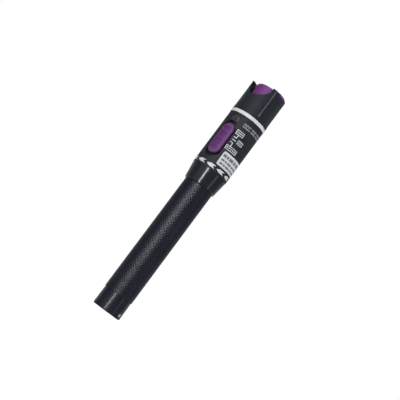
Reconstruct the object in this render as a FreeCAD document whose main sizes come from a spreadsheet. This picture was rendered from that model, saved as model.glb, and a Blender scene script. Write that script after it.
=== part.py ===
import FreeCAD, Part
import Sketcher
import math
import os
from types import SimpleNamespace

# Pen-shaped fibre tester: a knurled battery tube, a head with a slide switch,
# a laser behind a ferrule port, and a soft cap inside an open crown.
# The pen stands on its tail. Z runs up its axis, and the slide switch faces -Y.
# Lengths are millimetres and angles are degrees.

DRIVING_SIZES = {
    # battery tube
    "tube_diameter": 20.0,
    "tail_diameter": 19.6,
    "tail_band": 12.4,
    "shoulder_bevel": 0.3,
    "spigot_bevel": 0.4,
    "tail_bevel": 0.6,
    "tail_cup_diameter": 14.6,
    "tail_cup_depth": 4.6,
    "tail_wall": 1.8,
    "lanyard_diameter": 2.2,
    "lanyard_height": 2.8,
    "spigot_diameter": 17.8,
    "spigot_length": 11.0,
    "cell_reach": 4.4,
    # cells and their contacts
    "cell_diameter": 14.2,
    "cell_length": 50.5,
    "cell_clearance": 0.5,
    "cell_bevel": 0.5,
    "nub_diameter": 5.2,
    "nub_height": 1.2,
    "spring_length": 4.2,
    "spring_diameter": 9.0,
    "spring_wire": 0.8,
    "spring_turns": 3.0,
    "spring_seat": 0.05,
    "contact_gap": 0.1,
    "contact_diameter": 5.8,
    "contact_flange_diameter": 9.0,
    "contact_flange": 0.4,
    "tab_width": 2.0,
    "tab_thickness": 0.4,
    "tab_rise": 2.4,
    "holder_gap": 0.4,
    "holder_thickness": 1.8,
    "holder_hole_clearance": 0.3,
    # seal between tube and head
    "seal_station": 1.6,
    "seal_thickness": 0.66,
    "seal_groove_depth": 0.6,
    "seal_groove_width": 0.9,
    "seal_seat": 0.02,
    # collar
    "collar_height": 11.1,
    "collar_foot_diameter": 21.9,
    "collar_inset": 0.15,
    "collar_bevel": 0.4,
    "thread_clearance": 0.15,
    "collar_wall": 1.9,
    "washer_gap": 0.1,
    "washer_thickness": 0.5,
    "washer_width": 1.0,
    "washer_clearance": 0.25,
    # head barrel and its printed film
    "head_diameter": 25.0,
    "film_thickness": 0.18,
    "film_seat": 0.02,
    "film_inset": 0.2,
    "film_margin": 0.2,
    "barrel_wall": 1.8,
    "barrel_below": 20.2,
    "barrel_above": 19.9,
    "slip_clearance": 0.1,
    # slide switch, from the outside in
    "knob_width": 8.8,
    "knob_length": 22.6,
    "knob_rise": 1.1,
    "knob_bevel": 0.7,
    "knob_side_gap": 0.5,
    "knob_end_gap": 0.3,
    "knob_throw": 1.9,
    "knob_float": 0.15,
    "dish_width": 5.0,
    "dish_length": 17.0,
    "dish_depth": 0.35,
    "rib_width": 0.9,
    "rib_pitch": 5.2,
    "stem_width": 4.0,
    "stem_length": 8.0,
    "stem_clearance": 0.3,
    "bed_width": 13.2,
    "bed_thickness": 1.5,
    "carriage_width": 7.0,
    "carriage_length": 9.0,
    "carriage_thickness": 1.0,
    "carriage_back": 6.9,
    "fork_depth": 1.0,
    "fork_width": 0.9,
    "fork_clearance": 0.1,
    "lever_width": 1.6,
    "lever_root": 1.0,
    "lever_clearance": 0.2,
    "switch_width": 6.4,
    "switch_length": 11.0,
    "switch_depth": 3.5,
    "cover_thickness": 0.3,
    "cover_side": 2.4,
    # circuit board and chassis
    "board_front": 0.5,
    "board_thickness": 1.2,
    "board_width": 18.8,
    "board_foot_gap": 0.6,
    "board_head_gap": 0.8,
    "chassis_thickness": 1.4,
    "boss_diameter": 4.0,
    "boss_spread": 12.0,
    "boss_station": 4.4,
    "boss_depth": 5.8,
    "screw_diameter": 1.8,
    "screw_length": 5.0,
    "screw_head_diameter": 3.4,
    "screw_head_height": 1.0,
    "screw_clearance": 0.05,
    "bulkhead_thickness": 2.2,
    "bed_room": 0.2,
    "chip_side": 4.6,
    "chip_height": 1.2,
    "chip_gap": 0.6,
    "chip_margin": 1.0,
    "coil_diameter": 6.0,
    "coil_height": 3.2,
    "capacitor_diameter": 5.0,
    "capacitor_height": 4.6,
    # laser module
    "housing_diameter": 12.0,
    "housing_length": 11.0,
    "housing_foot_diameter": 10.0,
    "housing_clearance": 0.1,
    "diode_flange_diameter": 5.6,
    "diode_flange": 1.2,
    "diode_can_diameter": 3.6,
    "diode_can": 2.2,
    "diode_clearance": 0.1,
    "pin_diameter": 0.45,
    "pin_circle": 2.54,
    "pin_length": 3.0,
    "lens_diameter": 5.0,
    "lens_edge": 1.4,
    "lens_thickness": 2.4,
    "lens_seat": 3.4,
    # white ring and crown
    "ring_height": 2.2,
    "ring_proud": 0.2,
    "guard_spigot": 4.0,
    "guard_spigot_wall": 1.6,
    "lip_height": 2.6,
    "lip_proud": 0.15,
    "guard_height": 20.8,
    "horn_height": 2.2,
    "guard_wall": 2.0,
    "rim_bevel": 0.35,
    "floor_station": 2.4,
    "floor_thickness": 2.4,
    "crown_turn": -9.0,
    "notch_radius": 9.8,
    "notch_rise": 2.0,
    "notch_half_width": 9.2,
    "horn_inner_angle": 47.5,
    "horn_outer_angle": 72.5,
    "grip_rib_diameter": 1.2,
    "grip_rib_proud": 0.13,
    # ferrule port
    "port_diameter": 7.0,
    "port_height": 11.4,
    "port_bevel": 0.3,
    "port_flange_diameter": 13.0,
    "port_flange": 1.6,
    "port_stem_diameter": 9.0,
    "port_stem": 2.4,
    "port_clearance": 0.1,
    "beam_diameter": 2.0,
    "nut_width": 12.0,
    "nut_height": 2.0,
    "nut_clearance": 0.05,
    "sleeve_bore": 2.5,
    "sleeve_wall": 0.35,
    "sleeve_length": 11.6,
    "sleeve_inset": 0.6,
    "sleeve_clearance": 0.02,
    # dust cap
    "plug_diameter": 17.4,
    "plug_length": 11.9,
    "cap_proud": 0.3,
    "cap_round": 0.8,
    "cap_bore_clearance": 0.06,
    "cap_bore_headroom": 0.6,
    "hollow_inner_diameter": 10.4,
    "hollow_outer_diameter": 14.4,
    "hollow_roof": 4.4,
    "horn_gap_angle": 1.5,
}

document = FreeCAD.newDocument("FibreTester")


class Size:
    """A number together with the sheet formula that gives it."""

    def __init__(self, number, formula):
        self.number = number
        self.formula = formula

    def __add__(self, other):
        other = as_size(other)
        return Size(self.number + other.number, f"({self.formula} + {other.formula})")

    def __sub__(self, other):
        other = as_size(other)
        return Size(self.number - other.number, f"({self.formula} - {other.formula})")

    def __mul__(self, factor):
        factor = as_size(factor)
        return Size(self.number * factor.number, f"({self.formula} * {factor.formula})")

    def __truediv__(self, divisor):
        divisor = as_size(divisor)
        return Size(self.number / divisor.number, f"({self.formula} / {divisor.formula})")

    def __neg__(self):
        return Size(-self.number, f"(0 - {self.formula})")


def as_size(value):
    """A plain number is a Size whose formula is itself."""
    return value if isinstance(value, Size) else Size(float(value), str(value))


def write_sheet():
    """Put the driving sizes in the spreadsheet and hand them back by name."""
    sheet = document.addObject("Spreadsheet::Sheet", "Sizes")
    for row, (alias, number) in enumerate(DRIVING_SIZES.items(), start=1):
        sheet.set(f"A{row}", alias)
        sheet.set(f"B{row}", str(number))
        sheet.setAlias(f"B{row}", alias)
    document.recompute()
    return SimpleNamespace(
        **{alias: Size(number, f"Sizes.{alias}") for alias, number in DRIVING_SIZES.items()}
    )


def work_out_places(size):
    """Radii and heights that more than one piece shares."""
    place = SimpleNamespace()
    # radii, from the axis outwards
    place.tube_bore = size.cell_diameter / 2 + size.cell_clearance
    place.spigot = size.spigot_diameter / 2
    place.film = size.head_diameter / 2
    place.barrel = place.film - size.film_thickness - size.film_seat
    place.barrel_bore = place.barrel - size.barrel_wall
    place.slip = place.barrel_bore - size.slip_clearance
    place.collar_throat = place.slip - size.collar_wall
    place.bed_inner = place.slip - size.bed_thickness
    place.guard_bore = place.film - size.guard_wall
    # heights, from the tail up
    place.battery_floor = size.tail_cup_depth + size.tail_wall
    place.cells_foot = place.battery_floor + size.spring_length
    place.cells_top = place.cells_foot + size.cell_length * 2
    place.spigot_top = place.cells_top - size.cell_reach
    place.shoulder = place.spigot_top - size.spigot_length
    place.collar_top = place.shoulder + size.collar_height
    place.washer_foot = place.spigot_top + size.washer_gap
    place.ledge_foot = place.washer_foot + size.washer_thickness
    place.holder_foot = place.cells_top - size.nub_height + size.holder_gap
    place.holder_top = place.holder_foot + size.holder_thickness
    place.deck = place.holder_top + size.contact_flange
    place.switch_centre = place.collar_top + size.barrel_below
    place.barrel_top = place.switch_centre + size.barrel_above
    place.ring_top = place.barrel_top + size.ring_height
    place.guard_spigot_foot = place.barrel_top - size.guard_spigot
    place.floor_foot = place.ring_top + size.floor_station
    place.floor_top = place.floor_foot + size.floor_thickness
    place.rim = place.ring_top + size.guard_height
    place.horn_top = place.rim + size.horn_height
    place.stem_foot = place.floor_foot - size.port_stem
    place.bulkhead_top = place.stem_foot - size.housing_length
    place.bulkhead_foot = place.bulkhead_top - size.bulkhead_thickness
    place.port_flange_top = place.floor_top + size.port_flange
    place.port_top = place.port_flange_top + size.port_height
    place.sleeve_top = place.port_top - size.sleeve_inset
    place.sleeve_foot = place.sleeve_top - size.sleeve_length
    place.cap_top = place.horn_top + size.cap_proud
    place.plug_foot = place.cap_top - size.plug_length
    # the switch window, and depths behind it towards the axis
    place.window_width = size.knob_width + size.knob_side_gap * 2
    place.window_length = size.knob_length + (size.knob_throw + size.knob_end_gap) * 2
    place.board_back = size.board_front + size.board_thickness
    place.switch_front = size.switch_depth - size.board_front
    place.knob_under = place.slip + size.knob_float
    return place


size = write_sheet()
place = work_out_places(size)
CUTTER_REACH = 60.0
WHOLE_TURN = 360
TOUCH = 0.001
EDGE_SAMPLES = 5
HEXAGON_CORNER_PER_FLAT = 2 / math.sqrt(3)


def bind(item, sizes):
    """Tie each named property of a document object to its formula."""
    for name, value in sizes.items():
        item.setExpression(name, as_size(value).formula)
    return item


def make(kind, name, sizes=None):
    """Add one parametric object to the document."""
    return bind(document.addObject(kind, name), sizes or {})


def lift(height):
    """Placement height of a primitive."""
    return {"Placement.Base.z": height}


def rod(name, radius, length, foot=0.0):
    """Upright solid cylinder."""
    return make("Part::Cylinder", name, {"Radius": radius, "Height": length, **lift(foot)})


def block(name, low, high):
    """Box between two corners."""
    spans = {
        "Length": as_size(high[0]) - low[0],
        "Width": as_size(high[1]) - low[1],
        "Height": as_size(high[2]) - low[2],
    }
    corner = {f"Placement.Base.{axis}": value for axis, value in zip("xyz", low)}
    return make("Part::Box", name, {**spans, **corner})


def cross_rod(name, radius, length, at):
    """Cylinder lying along +Y from the point given."""
    item = make("Part::Cylinder", name, {"Radius": radius, "Height": length})
    item.Placement = FreeCAD.Placement(
        FreeCAD.Vector(), FreeCAD.Rotation(FreeCAD.Vector(1, 0, 0), -90)
    )
    return bind(item, {f"Placement.Base.{axis}": value for axis, value in zip("xyz", at)})


def cut(name, base, tool):
    """Base with the tool's shape taken away."""
    item = document.addObject("Part::Cut", name)
    item.Base = base
    item.Tool = tool
    return item


def fuse(name, *shapes):
    """One solid out of several that meet."""
    item = document.addObject("Part::MultiFuse", name)
    item.Shapes = list(shapes)
    item.Refine = True
    return item


def overlap(name, *shapes):
    """What the shapes have in common."""
    item = document.addObject("Part::MultiCommon", name)
    item.Shapes = list(shapes)
    return item


def bevel(name, base, width, belongs):
    """Chamfer of every edge whose sample points all pass the test given."""
    document.recompute()
    picked = []
    for number, edge in enumerate(base.Shape.Edges, start=1):
        if all(belongs(point) for point in edge.discretize(EDGE_SAMPLES)):
            picked.append((number, width, width))
    item = document.addObject("Part::Chamfer", name)
    item.Base = base
    item.Edges = picked
    return item


def bevel_rims(name, base, rims, width):
    """Chamfer of the arcs round the pen's axis at the given pairs of radius and height."""

    def on_a_rim(point):
        reach = math.hypot(point.x, point.y)
        return any(
            abs(reach - radius) < TOUCH and abs(point.z - height) < TOUCH
            for radius, height in rims
        )

    return bevel(name, base, width, on_a_rim)


def bevel_crest(name, base, radius, width):
    """Chamfer of the edges that lie wholly at one distance from the pen's axis."""

    def on_the_crest(point):
        return abs(math.hypot(point.x, point.y) - radius) < TOUCH

    return bevel(name, base, width, on_the_crest)


def group(name, *shapes):
    """Separate solids that go by one name."""
    item = document.addObject("Part::Compound", name)
    item.Links = list(shapes)
    return item


def origin_plane(body, role):
    """One of a body's own base planes."""
    for feature in body.Origin.OriginFeatures:
        if feature.Role == role:
            return feature
    raise ValueError(role)


def new_sketch(body, role, name):
    """Sketch on one of a body's base planes."""
    sketch = body.newObject("Sketcher::SketchObject", name)
    sketch.AttachmentSupport = (origin_plane(body, role), [""])
    sketch.MapMode = "FlatFace"
    return sketch


def pin_down(sketch, axis, edge, end, value):
    """Hold one end of a sketch edge at a distance from the sketch origin."""
    value = as_size(value)
    if value.number == 0:
        line = -2 if axis == "X" else -1
        sketch.addConstraint(Sketcher.Constraint("PointOnObject", edge, end, line))
        return
    row = sketch.addConstraint(Sketcher.Constraint(f"Distance{axis}", -1, 1, edge, end, value.number))
    sketch.setExpression(f"Constraints[{row}]", value.formula)


def turned(label, *corners):
    """Body turned about the pen's axis from an outline of (radius, height) corners."""
    body = document.addObject("PartDesign::Body", label)
    sketch = new_sketch(body, "XZ_Plane", f"{label}_outline")
    points = [FreeCAD.Vector(as_size(r).number, as_size(z).number, 0) for r, z in corners]
    count = len(points)
    for row in range(count):
        sketch.addGeometry(Part.LineSegment(points[row], points[(row + 1) % count]), False)
    for row in range(count):
        sketch.addConstraint(Sketcher.Constraint("Coincident", row, 2, (row + 1) % count, 1))
    for row, (radius, height) in enumerate(corners):
        pin_down(sketch, "X", row, 1, radius)
        pin_down(sketch, "Y", row, 1, height)
    spin = body.newObject("PartDesign::Revolution", f"{label}_turning")
    spin.Profile = sketch
    spin.ReferenceAxis = (sketch, ["V_Axis"])
    spin.Angle = WHOLE_TURN
    sketch.Visibility = False
    return body


def draw_slot(sketch, width, length, centre):
    """Upright slot outline with round ends, centred on the sketch's own V axis."""
    half = width.number / 2
    reach = (length.number - width.number) / 2
    low = centre.number - reach
    high = centre.number + reach
    up = FreeCAD.Vector(0, 0, 1)
    turn = math.pi
    sketch.addGeometry(
        Part.ArcOfCircle(Part.Circle(FreeCAD.Vector(0, high, 0), up, half), 0, turn), False
    )
    sketch.addGeometry(
        Part.ArcOfCircle(Part.Circle(FreeCAD.Vector(0, low, 0), up, half), turn, 2 * turn), False
    )
    left = [FreeCAD.Vector(-half, high, 0), FreeCAD.Vector(-half, low, 0)]
    right = [FreeCAD.Vector(half, low, 0), FreeCAD.Vector(half, high, 0)]
    sketch.addGeometry(Part.LineSegment(*left), False)
    sketch.addGeometry(Part.LineSegment(*right), False)
    for one, end, other, start in [(0, 2, 2, 1), (2, 2, 1, 1), (1, 2, 3, 1), (3, 2, 0, 1)]:
        sketch.addConstraint(Sketcher.Constraint("Tangent", one, end, other, start))
    sketch.addConstraint(Sketcher.Constraint("PointOnObject", 0, 3, -2))
    sketch.addConstraint(Sketcher.Constraint("PointOnObject", 1, 3, -2))
    row = sketch.addConstraint(Sketcher.Constraint("Radius", 0, half))
    sketch.setExpression(f"Constraints[{row}]", (width / 2).formula)
    pin_down(sketch, "Y", 0, 3, centre + (length - width) / 2)
    pin_down(sketch, "Y", 1, 3, centre - (length - width) / 2)


def pocket_outwards(body, sketch, name):
    """Pocket through everything on the outer side of the sketch's base plane."""
    pocket = body.newObject("PartDesign::Pocket", name)
    pocket.Profile = sketch
    pocket.Type = "ThroughAll"
    pocket.Reversed = True
    sketch.Visibility = False
    return pocket


def cut_window(body, width, length):
    """Cut the slide switch's window through the -Y side of a sleeve."""
    sketch = new_sketch(body, "XZ_Plane", f"{body.Name}_window_outline")
    draw_slot(sketch, width, length, place.switch_centre)
    pocket_outwards(body, sketch, f"{body.Name}_window")


def battery_tube():
    """Tube with a hollow tail, a closed battery floor and a spigot for the head."""
    groove_foot = place.shoulder + size.seal_station - size.seal_groove_width / 2
    groove_top = groove_foot + size.seal_groove_width
    groove = place.spigot - size.seal_groove_depth
    tail = size.tail_diameter / 2
    tube = size.tube_diameter / 2
    cup = size.tail_cup_diameter / 2
    body = turned(
        "battery_tube",
        (cup, 0),
        (tail - size.tail_bevel, 0),
        (tail, size.tail_bevel),
        (tail, size.tail_band),
        (tube, size.tail_band),
        (tube, place.shoulder - size.shoulder_bevel),
        (tube - size.shoulder_bevel, place.shoulder),
        (place.spigot, place.shoulder),
        (place.spigot, groove_foot),
        (groove, groove_foot),
        (groove, groove_top),
        (place.spigot, groove_top),
        (place.spigot, place.spigot_top - size.spigot_bevel),
        (place.spigot - size.spigot_bevel, place.spigot_top),
        (place.tube_bore, place.spigot_top),
        (place.tube_bore, place.battery_floor),
        (0, place.battery_floor),
        (0, size.tail_cup_depth),
        (cup, size.tail_cup_depth),
    )
    sketch = new_sketch(body, "YZ_Plane", "lanyard_outline")
    sketch.addGeometry(
        Part.Circle(FreeCAD.Vector(0, size.lanyard_height.number, 0), FreeCAD.Vector(0, 0, 1), 1),
        False,
    )
    row = sketch.addConstraint(Sketcher.Constraint("Radius", 0, 1))
    sketch.setExpression(f"Constraints[{row}]", (size.lanyard_diameter / 2).formula)
    pin_down(sketch, "X", 0, 3, 0)
    pin_down(sketch, "Y", 0, 3, size.lanyard_height)
    pocket_outwards(body, sketch, "lanyard_hole")
    return body


def tail_spring():
    """Coil between the battery floor and the rear cell, shown at its loaded length."""
    helix = make(
        "Part::Helix",
        "tail_spring_path",
        {
            "Radius": size.spring_diameter / 2,
            "Height": size.spring_length - size.spring_wire - size.spring_seat * 2,
            "Pitch": (size.spring_length - size.spring_wire - size.spring_seat * 2)
            / size.spring_turns,
            **lift(place.battery_floor + size.spring_wire / 2 + size.spring_seat),
        },
    )
    wire = make("Part::RegularPolygon", "tail_spring_wire", {"Circumradius": size.spring_wire / 2})
    wire.Polygon = 6
    wire.Placement = FreeCAD.Placement(
        FreeCAD.Vector(), FreeCAD.Rotation(FreeCAD.Vector(1, 0, 0), 90)
    )
    bind(
        wire,
        {
            "Placement.Base.x": size.spring_diameter / 2,
            "Placement.Base.z": place.battery_floor + size.spring_wire / 2 + size.spring_seat,
        },
    )
    spring = document.addObject("Part::Sweep", "tail_spring")
    spring.Sections = [wire]
    spring.Spine = (helix, [])
    spring.Solid = True
    spring.Frenet = True
    return spring


def cell(label, foot):
    """Round battery cell with its positive nub upwards."""
    radius = size.cell_diameter / 2
    nub = size.nub_diameter / 2
    can_top = foot + size.cell_length - size.nub_height
    return turned(
        label,
        (0, foot),
        (radius - size.cell_bevel, foot),
        (radius, foot + size.cell_bevel),
        (radius, can_top - size.cell_bevel),
        (radius - size.cell_bevel, can_top),
        (nub, can_top),
        (nub, foot + size.cell_length),
        (0, foot + size.cell_length),
    )


def seal_ring():
    """Seal in the spigot's groove, six-sided in section."""
    half = size.seal_thickness / 2
    inner = place.spigot - size.seal_groove_depth + size.seal_seat
    middle = place.shoulder + size.seal_station
    return turned(
        "seal_ring",
        (inner, middle - half / 2),
        (inner + half, middle - half),
        (inner + half * 2, middle - half / 2),
        (inner + half * 2, middle + half / 2),
        (inner + half, middle + half),
        (inner, middle + half / 2),
    )


def collar():
    """Flared ring that screws onto the tube and carries the head barrel."""
    foot = size.collar_foot_diameter / 2
    bore = place.spigot + size.thread_clearance
    return turned(
        "collar",
        (bore, place.shoulder),
        (foot - size.collar_bevel, place.shoulder),
        (foot, place.shoulder + size.collar_bevel),
        (place.film - size.collar_inset, place.collar_top),
        (place.slip, place.collar_top),
        (place.slip, place.deck),
        (place.collar_throat, place.deck),
        (place.collar_throat, place.holder_foot),
        (place.tube_bore, place.holder_foot),
        (place.tube_bore, place.ledge_foot),
        (bore, place.ledge_foot),
    )


def ground_ring():
    """Contact washer between the tube's rim and the collar's ledge."""
    outer = place.spigot + size.thread_clearance - size.washer_clearance
    return turned(
        "ground_ring",
        (outer - size.washer_width, place.washer_foot),
        (outer, place.washer_foot),
        (outer, place.ledge_foot),
        (outer - size.washer_width, place.ledge_foot),
    )


def contact_holder():
    """Insulating disc in the collar's throat that holds the front contact."""
    hole = size.contact_diameter / 2 + size.holder_hole_clearance
    outer = place.collar_throat - size.slip_clearance
    return turned(
        "contact_holder",
        (hole, place.holder_foot),
        (outer, place.holder_foot),
        (outer, place.holder_top),
        (hole, place.holder_top),
    )


def front_contact():
    """Button that meets the front cell's nub, with a solder tab up to the board."""
    button = size.contact_diameter / 2
    flange = size.contact_flange_diameter / 2
    disc = turned(
        "contact_button",
        (0, place.cells_top + size.contact_gap),
        (button, place.cells_top + size.contact_gap),
        (button, place.holder_top),
        (flange, place.holder_top),
        (flange, place.deck),
        (0, place.deck),
    )
    tab = block(
        "contact_tab",
        (-size.tab_width / 2, size.board_front - size.tab_thickness, place.holder_top),
        (size.tab_width / 2, size.board_front, place.deck + size.tab_rise),
    )
    return fuse("front_contact", disc, tab)


def head_barrel():
    """Tube of the head, with the window for the slide switch."""
    body = turned(
        "head_barrel",
        (place.barrel_bore, place.collar_top),
        (place.barrel, place.collar_top),
        (place.barrel, place.barrel_top),
        (place.barrel_bore, place.barrel_top),
    )
    cut_window(body, place.window_width, place.window_length)
    return body


def label_film():
    """Printed film wrapped round the head barrel, cut clear of the window."""
    inner = place.barrel + size.film_seat
    body = turned(
        "label_film",
        (inner, place.collar_top + size.film_inset),
        (place.film, place.collar_top + size.film_inset),
        (place.film, place.barrel_top - size.film_inset),
        (inner, place.barrel_top - size.film_inset),
    )
    margin = size.film_margin * 2
    cut_window(body, place.window_width + margin, place.window_length + margin)
    return body


def accent_ring():
    """Plain ring clamped between the barrel and the crown."""
    return turned(
        "accent_ring",
        (place.barrel_bore, place.barrel_top),
        (place.film + size.ring_proud, place.barrel_top),
        (place.film + size.ring_proud, place.ring_top),
        (place.barrel_bore, place.ring_top),
    )


def turn_about_axis(item, angle):
    """Turn an upright piece about the pen's axis by an angle kept in the sheet."""
    item.Placement = FreeCAD.Placement(
        item.Placement.Base, FreeCAD.Rotation(FreeCAD.Vector(0, 0, 1), 1)
    )
    return bind(item, {"Placement.Rotation.Angle": angle})


def sector(name, outer, inner, start, spread, foot, top):
    """Part of an upright ring, from a start angle round to start plus spread."""
    full = turn_about_axis(rod(f"{name}_outside", outer, top - foot, foot), start)
    hollow = turn_about_axis(rod(f"{name}_inside", inner, top - foot, foot), start)
    bind(full, {"Angle": spread})
    bind(hollow, {"Angle": spread})
    return cut(name, full, hollow)


def notch_tool():
    """Round-bottomed finger notch, reaching out from the pen's axis along -Y."""
    round_end = cross_rod(
        "notch_round",
        size.notch_radius,
        CUTTER_REACH,
        (0, -CUTTER_REACH, place.rim + size.notch_rise),
    )
    sides = block(
        "notch_sides",
        (-size.notch_half_width, -CUTTER_REACH, place.floor_top),
        (size.notch_half_width, 0, place.horn_top + CUTTER_REACH),
    )
    return overlap("notch_tool", round_end, sides)


def crown_guard():
    """Open crown: a cup with a lip, two horns beside a finger notch, and a low back rim."""
    shell = turned(
        "crown_shell",
        (place.slip - size.guard_spigot_wall, place.guard_spigot_foot),
        (place.slip, place.guard_spigot_foot),
        (place.slip, place.ring_top),
        (place.film + size.lip_proud, place.ring_top),
        (place.film + size.lip_proud, place.ring_top + size.lip_height),
        (place.film, place.ring_top + size.lip_height),
        (place.film, place.horn_top),
        (place.guard_bore, place.horn_top),
        (place.guard_bore, place.floor_top),
        (size.port_stem_diameter / 2 + size.port_clearance, place.floor_top),
        (size.port_stem_diameter / 2 + size.port_clearance, place.floor_foot),
        (place.slip - size.guard_spigot_wall, place.floor_foot),
    )
    ribs = [
        grip_rib("grip_rib_right", (size.horn_inner_angle + size.horn_outer_angle) / 2 - 90),
        grip_rib("grip_rib_left", -(size.horn_inner_angle + size.horn_outer_angle) / 2 - 90),
    ]
    ribbed = fuse("crown_ribbed", shell, *ribs)
    back = sector(
        "crown_back",
        place.film + size.guard_wall,
        place.guard_bore - size.guard_wall,
        size.horn_outer_angle - 90,
        as_size(WHOLE_TURN) - size.horn_outer_angle * 2,
        place.rim,
        place.horn_top + size.guard_wall,
    )
    lowered = cut("crown_lowered", ribbed, back)
    notched = cut("crown_notched", lowered, notch_tool())
    rims = [
        (place.film.number, place.rim.number),
        (place.guard_bore.number, place.rim.number),
        (place.film.number, place.horn_top.number),
    ]
    guard = bevel_rims("crown_guard", notched, rims, size.rim_bevel.number)
    return turn_about_axis(guard, size.crown_turn + WHOLE_TURN)


def grip_rib(name, angle):
    """Slim round-backed rib on a horn's centre line."""
    half = size.grip_rib_diameter / 2
    rib = rod(name, half, place.horn_top - place.ring_top, place.ring_top)
    bind(rib, {"Placement.Base.x": place.film + size.grip_rib_proud - half})
    item = document.addObject("Part::Compound", f"{name}_turned")
    item.Links = [rib]
    return turn_about_axis(item, angle + WHOLE_TURN)


def chassis():
    """Half shell behind the board, with screw bosses and a bulkhead for the laser."""
    outer = place.slip - size.slip_clearance
    inner = outer - size.chassis_thickness
    shell = cut(
        "chassis_shell",
        rod("chassis_outside", outer, place.bulkhead_foot - place.deck, place.deck),
        rod("chassis_inside", inner, place.bulkhead_foot - place.deck, place.deck),
    )
    behind = block(
        "chassis_behind",
        (-outer, place.board_back, place.deck),
        (outer, outer, place.bulkhead_foot),
    )
    bosses = [boss("left", -1), boss("right", 1)]
    half = overlap("chassis_half", fuse("chassis_bossed", shell, *bosses), behind)
    disc = rod("bulkhead_disc", outer, size.bulkhead_thickness, place.bulkhead_foot)
    bore = rod(
        "bulkhead_bore",
        size.housing_foot_diameter / 2 + size.housing_clearance,
        size.bulkhead_thickness,
        place.bulkhead_foot,
    )
    front = cut(
        "bulkhead_front",
        block(
            "bulkhead_front_block",
            (-size.bed_width / 2 - size.bed_room, -outer, place.bulkhead_foot),
            (size.bed_width / 2 + size.bed_room, 0, place.bulkhead_top),
        ),
        rod(
            "bulkhead_front_keep",
            place.bed_inner - size.bed_room,
            size.bulkhead_thickness,
            place.bulkhead_foot,
        ),
    )
    plate = cut("bulkhead_plate", cut("bulkhead_ring", disc, bore), front)
    holes = group("chassis_holes", screw_hole("left", -1), screw_hole("right", 1))
    return cut("chassis", fuse("chassis_solid", half, plate), holes)


def boss_height():
    """Height of the board's two screws."""
    return place.deck + size.boss_station


def boss(side, sign):
    """Boss behind the board for one screw, run back into the shell."""
    return overlap(
        f"chassis_boss_{side}",
        cross_rod(
            f"boss_rod_{side}",
            size.boss_diameter / 2,
            place.slip,
            (size.boss_spread / 2 * sign, 0, boss_height()),
        ),
        rod(
            f"boss_reach_{side}",
            place.slip - size.slip_clearance - size.chassis_thickness / 2,
            size.boss_station * 2,
            place.deck,
        ),
    )


def screw_hole(side, sign):
    """Clearance hole for one board screw."""
    return cross_rod(
        f"boss_hole_{side}",
        size.screw_diameter / 2 + size.screw_clearance,
        size.boss_depth,
        (size.boss_spread / 2 * sign, 0, boss_height()),
    )


def board_screws():
    """Two screws that hold the board to the chassis."""
    screws = []
    for side, sign in [("left", -1), ("right", 1)]:
        across = size.boss_spread / 2 * sign
        shank = cross_rod(
            f"screw_shank_{side}",
            size.screw_diameter / 2,
            size.screw_length,
            (across, size.board_front - size.screw_clearance, boss_height()),
        )
        head = cross_rod(
            f"screw_head_{side}",
            size.screw_head_diameter / 2,
            size.screw_head_height,
            (across, size.board_front - size.screw_head_height, boss_height()),
        )
        screws.append(fuse(f"board_screw_{side}", shank, head))
    return group("board_screws", *screws)


def circuit_board():
    """Board that stands in the head and carries the switch and the driver."""
    plate = block(
        "board_plate",
        (-size.board_width / 2, size.board_front, place.deck + size.board_foot_gap),
        (size.board_width / 2, place.board_back, place.bulkhead_foot - size.board_head_gap),
    )
    holes = [
        cross_rod(
            f"board_hole_{side}",
            size.screw_diameter / 2 + size.screw_clearance,
            place.board_back,
            (size.boss_spread / 2 * sign, 0, boss_height()),
        )
        for side, sign in [("left", -1), ("right", 1)]
    ]
    return cut("circuit_board", plate, group("board_holes", *holes))


def driver_chip():
    """Laser driver on the board's front, between the switch and the board's edge."""
    foot = place.switch_centre - size.chip_side / 2
    return block(
        "driver_chip",
        (size.switch_width / 2 + size.chip_gap, size.board_front - size.chip_height, foot),
        (size.board_width / 2 - size.chip_margin, size.board_front, foot + size.chip_side),
    )


def boost_coil():
    """Round coil on the back of the board."""
    return cross_rod(
        "boost_coil",
        size.coil_diameter / 2,
        size.coil_height,
        (0, place.board_back, place.switch_centre),
    )


def filter_capacitor():
    """Small can capacitor on the back of the board, below the coil."""
    return cross_rod(
        "filter_capacitor",
        size.capacitor_diameter / 2,
        size.capacitor_height,
        (0, place.board_back, place.switch_centre - size.coil_diameter),
    )


def switch_body():
    """Slide switch on the board's front, with a pocket for its lever."""
    half_width = size.switch_width / 2
    half_length = size.switch_length / 2
    solid = block(
        "switch_block",
        (-half_width, -place.switch_front, place.switch_centre - half_length),
        (half_width, size.board_front, place.switch_centre + half_length),
    )
    reach = size.lever_width / 2 + size.lever_clearance
    pocket = block(
        "switch_pocket",
        (
            -reach,
            -place.switch_front,
            place.switch_centre - reach - size.knob_throw,
        ),
        (
            reach,
            -place.switch_front + size.lever_root + size.lever_clearance,
            place.switch_centre + reach + size.knob_throw,
        ),
    )
    return cut("switch_body", solid, pocket)


def switch_cover():
    """Bent metal cover over the slide switch, slotted for the lever."""
    half_width = size.switch_width / 2
    half_length = size.switch_length / 2
    front = place.switch_front + size.cover_thickness
    shell = block(
        "cover_block",
        (-half_width - size.cover_thickness, -front, place.switch_centre - half_length),
        (
            half_width + size.cover_thickness,
            -front + size.cover_side,
            place.switch_centre + half_length,
        ),
    )
    room = block(
        "cover_room",
        (-half_width, -place.switch_front, place.switch_centre - half_length),
        (half_width, size.board_front, place.switch_centre + half_length),
    )
    reach = size.lever_width / 2 + size.lever_clearance
    slot = block(
        "cover_slot",
        (-reach, -front, place.switch_centre - reach - size.knob_throw),
        (reach, size.board_front, place.switch_centre + reach + size.knob_throw),
    )
    return cut("switch_cover", cut("cover_bent", shell, room), slot)


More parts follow.
